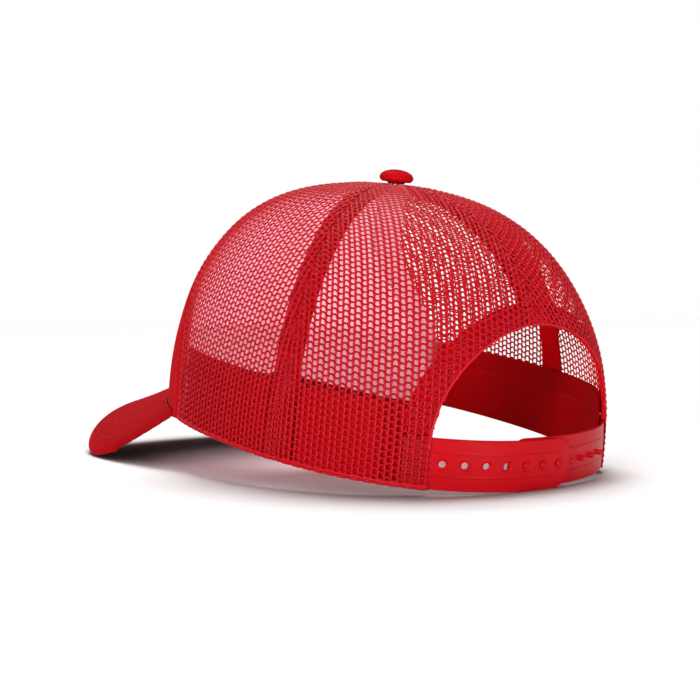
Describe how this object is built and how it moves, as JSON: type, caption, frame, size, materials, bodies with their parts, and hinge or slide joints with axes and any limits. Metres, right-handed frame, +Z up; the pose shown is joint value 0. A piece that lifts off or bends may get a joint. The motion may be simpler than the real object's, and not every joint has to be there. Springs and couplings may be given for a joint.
{
  "type": "trucker mesh cap",
  "caption": "Trucker cap with a cloth front, mesh sides and back, a curved visor, a button on top and an adjustable snap strap across the rear opening.",
  "frame": {"origin": "on the table, under the middle of the cap's box", "axes": "+Z up from the table, -Y the way the visor points, +X the wearer's left; the cap is tipped back by 9 degrees as it stands on its visor and the back of its strap"},
  "size_m": [0.1612, 0.2726, 0.1277],
  "materials": {
    "red_front_cloth": "plain woven polyester, matt",
    "pale_backing": "smooth fused backing, slight sheen",
    "red_net": "warp-knitted hexagonal net",
    "red_tape": "woven seam tape",
    "red_sweatband": "fine twill",
    "pale_interlining": "nonwoven",
    "red_visor_cloth": "fine twill with rows of stitching",
    "visor_board": "moulded sheet",
    "red_strap_plastic": "semi-gloss moulded",
    "steel": "plated"
  },
  "bodies": {
    "cap": {"front_panel": "red_front_cloth", "front_panel_backing": "pale_backing", "side_mesh_left": "red_net", "side_mesh_right": "red_net", "rear_mesh_left": "red_net", "rear_mesh_right": "red_net", "front_left_seam_tape": "red_tape", "front_right_seam_tape": "red_tape", "rear_left_seam_tape": "red_tape", "rear_right_seam_tape": "red_tape", "centre_back_seam_tape": "red_tape", "arch_binding": "red_tape", "sweatband": "red_sweatband", "sweatband_interlining": "pale_interlining", "visor_top_cover": "red_visor_cloth", "visor_board": "visor_board", "visor_under_cover": "red_visor_cloth", "button_cover": "red_front_cloth", "button_shell_and_shank": "steel", "button_back_washer": "steel", "hole_strap_tab": "red_strap_plastic", "peg_strap_tab": "red_strap_plastic"},
    "hole_strap_body": {"hole_strap": "red_strap_plastic"},
    "peg_strap_body": {"peg_strap": "red_strap_plastic"}
  },
  "joints": [
    {"name": "hole_strap_swing", "type": "hinge", "parent": "cap", "child": "hole_strap_body", "pos_m": [0.04646, 0.1214, 0.01172], "axis": [0, -0.156, -0.9878], "range_deg": [0, 65], "stiffness_Nm_per_rad": 0.02},
    {"name": "peg_strap_swing", "type": "hinge", "parent": "cap", "child": "peg_strap_body", "pos_m": [-0.04571, 0.12053, 0.01241], "axis": [0, -0.156, -0.9878], "range_deg": [0, 35], "stiffness_Nm_per_rad": 0.02}
  ]
}
